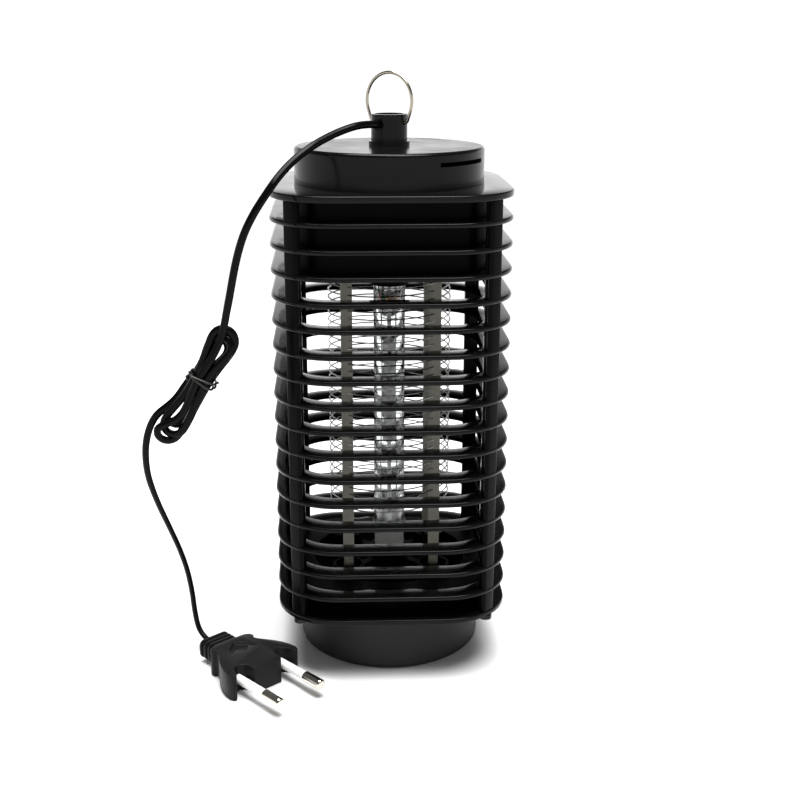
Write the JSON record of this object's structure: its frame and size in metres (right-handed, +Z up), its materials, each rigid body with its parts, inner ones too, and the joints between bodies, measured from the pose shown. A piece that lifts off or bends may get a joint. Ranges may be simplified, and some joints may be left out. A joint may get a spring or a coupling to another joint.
{
  "type": "electric bug zapper",
  "caption": "Hanging louvred lantern with a lamp inside a coil of charged wire, a round cap with a wire hanger, a pull-off catch tray, and a cord with a two-pin plug.",
  "frame": {"origin": "centre of the catch tray's underside, on the surface the lantern stands on", "axes": "+Z up along the lantern's axis, front of the lantern towards -Y, +X to the viewer's right"},
  "size_m": [0.1313, 0.1099, 0.2159],
  "materials": {
    "black_plastic": "satin gloss",
    "tray_plastic": "fine matte",
    "nickel_wire": "bright drawn wire",
    "screw_steel": "plated",
    "board": "satin",
    "capacitor_red": "gloss",
    "component_black": "satin",
    "component_tan": "satin",
    "lead_brown": "satin",
    "lead_red": "satin",
    "strip_plastic": "satin, slightly translucent",
    "grid_steel": "bright wire",
    "clear_glass": "clear",
    "lamp_metal": "satin",
    "gray_plastic": "satin",
    "cord_black": "satin",
    "tie_black": "satin",
    "plug_plastic": "satin",
    "sleeve_white": "satin",
    "pin_nickel": "bright nickel"
  },
  "bodies": {
    "lantern": {"bottom_plate": "black_plastic", "hopper_ring": "black_plastic", "floor_spider": "black_plastic", "corner_posts": "black_plastic", "louvre_fins": "black_plastic", "top_plate": "black_plastic", "electronics_drum": "black_plastic", "top_cap": "black_plastic", "hanger_boss": "black_plastic", "case_screws": "screw_steel", "circuit_board": "board", "board_screws": "screw_steel", "capacitors": "capacitor_red", "diodes": "component_black", "resistors": "component_tan", "mains_leads": "lead_brown", "grid_leads": "lead_red", "grid_strip_front_left": "strip_plastic", "grid_strip_front_right": "strip_plastic", "grid_strip_back_left": "strip_plastic", "grid_strip_back_right": "strip_plastic", "grid_wire_a": "grid_steel", "grid_wire_b": "grid_steel", "lamp_holder": "black_plastic", "lamp_tube": "clear_glass", "lamp_core": "lamp_metal", "lamp_parts": "component_tan", "lamp_lens": "clear_glass", "lamp_end_ring": "gray_plastic", "cord_bushing": "cord_black", "cord_upper": "cord_black", "cord_hank": "cord_black", "cord_tie": "tie_black", "cord_lower": "cord_black", "plug_relief": "cord_black", "plug_body": "plug_plastic", "plug_sleeves": "sleeve_white", "plug_pins": "pin_nickel"},
    "catch_tray": {"tray": "tray_plastic"},
    "hanger": {"hanger_bail": "nickel_wire"}
  },
  "joints": [
    {"name": "hanger_swing", "type": "hinge", "parent": "lantern", "child": "hanger", "pos_m": [0, 0, 0.1981], "axis": [0.788, -0.6157, 0], "range_deg": [-95, 60]},
    {"name": "tray_pull", "type": "slide", "parent": "lantern", "child": "catch_tray", "axis": [0, 0, -1], "range_m": [0, 0.03]}
  ]
}
